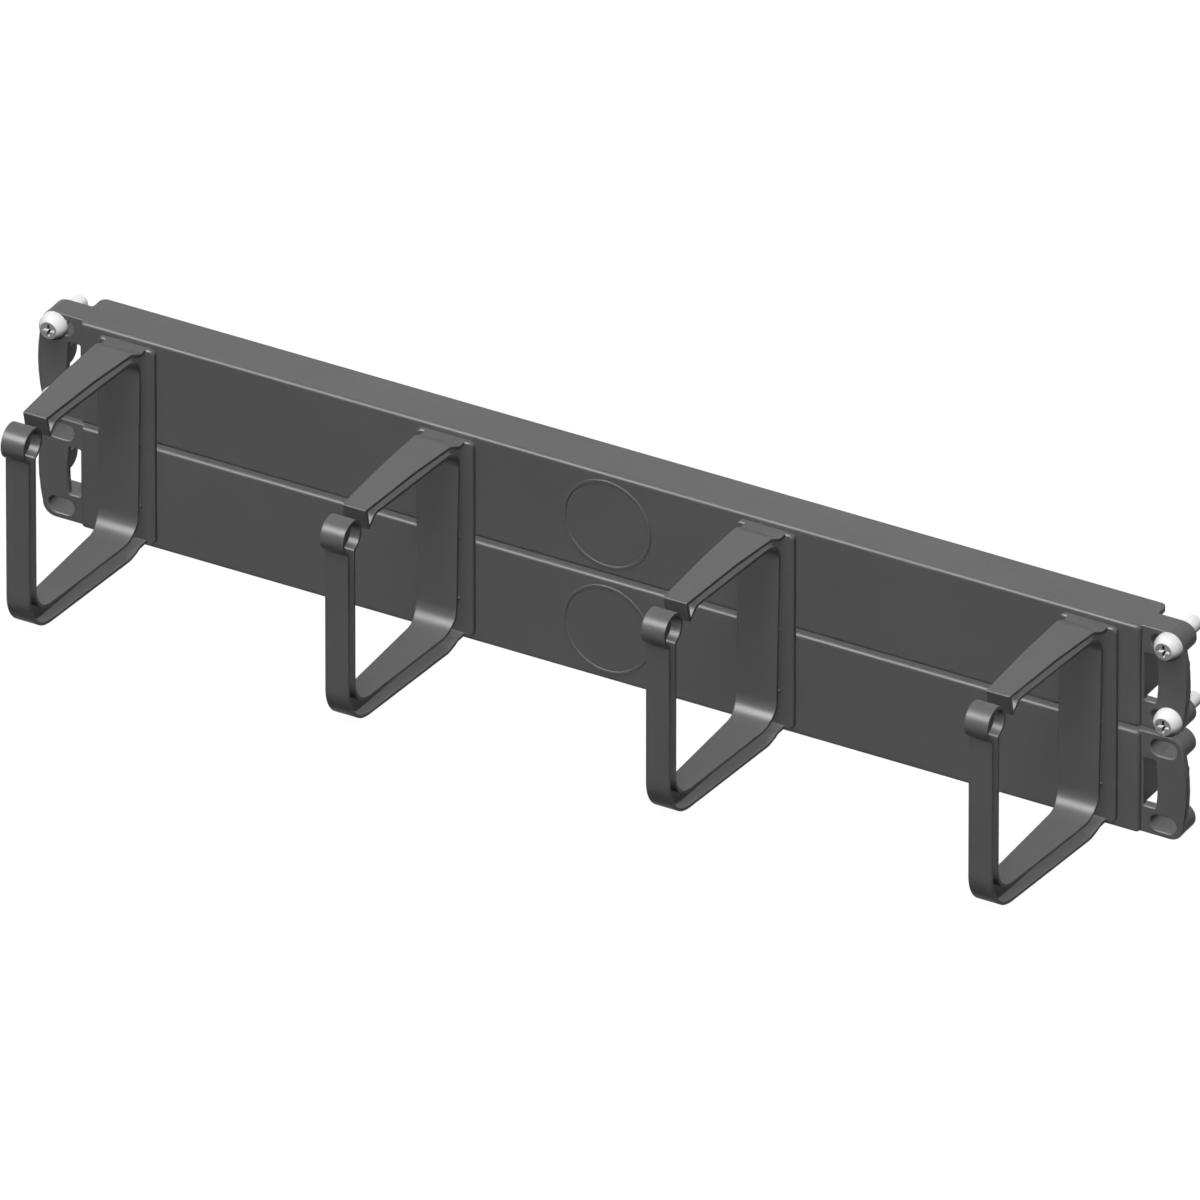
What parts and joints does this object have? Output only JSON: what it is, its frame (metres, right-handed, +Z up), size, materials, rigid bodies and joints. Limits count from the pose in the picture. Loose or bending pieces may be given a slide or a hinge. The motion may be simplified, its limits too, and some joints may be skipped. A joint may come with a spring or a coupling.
{
  "type": "horizontal cable manager",
  "caption": "Horizontal rack cable manager: shallow open-backed panels with slotted ears carry a row of open D-shaped rings that guide patch cables along the front.",
  "frame": {"origin": "midway between the four rack screws, on the plane where the lugs meet the rack's rails", "axes": "+X along the rack's width, to the right seen from the front; +Y into the rack; +Z up"},
  "size_m": [0.48, 0.1069, 0.0891],
  "materials": {
    "panel_plastic": "moulded, satin",
    "ring_plastic": "moulded, satin",
    "rack_screw_steel": "bright zinc plate",
    "small_screw_steel": "zinc plate"
  },
  "bodies": {
    "root": {"panel_upper": "panel_plastic", "panel_lower": "panel_plastic", "cable_ring_1": "ring_plastic", "cable_ring_2": "ring_plastic", "cable_ring_3": "ring_plastic", "cable_ring_4": "ring_plastic", "ring_1_screw_1": "small_screw_steel", "ring_1_screw_2": "small_screw_steel", "ring_1_screw_3": "small_screw_steel", "ring_1_screw_4": "small_screw_steel", "ring_2_screw_1": "small_screw_steel", "ring_2_screw_2": "small_screw_steel", "ring_2_screw_3": "small_screw_steel", "ring_2_screw_4": "small_screw_steel", "ring_3_screw_1": "small_screw_steel", "ring_3_screw_2": "small_screw_steel", "ring_3_screw_3": "small_screw_steel", "ring_3_screw_4": "small_screw_steel", "ring_4_screw_1": "small_screw_steel", "ring_4_screw_2": "small_screw_steel", "ring_4_screw_3": "small_screw_steel", "ring_4_screw_4": "small_screw_steel", "rack_screw_1": "rack_screw_steel", "rack_screw_2": "rack_screw_steel", "rack_screw_3": "rack_screw_steel", "rack_screw_4": "rack_screw_steel"}
  },
  "joints": []
}
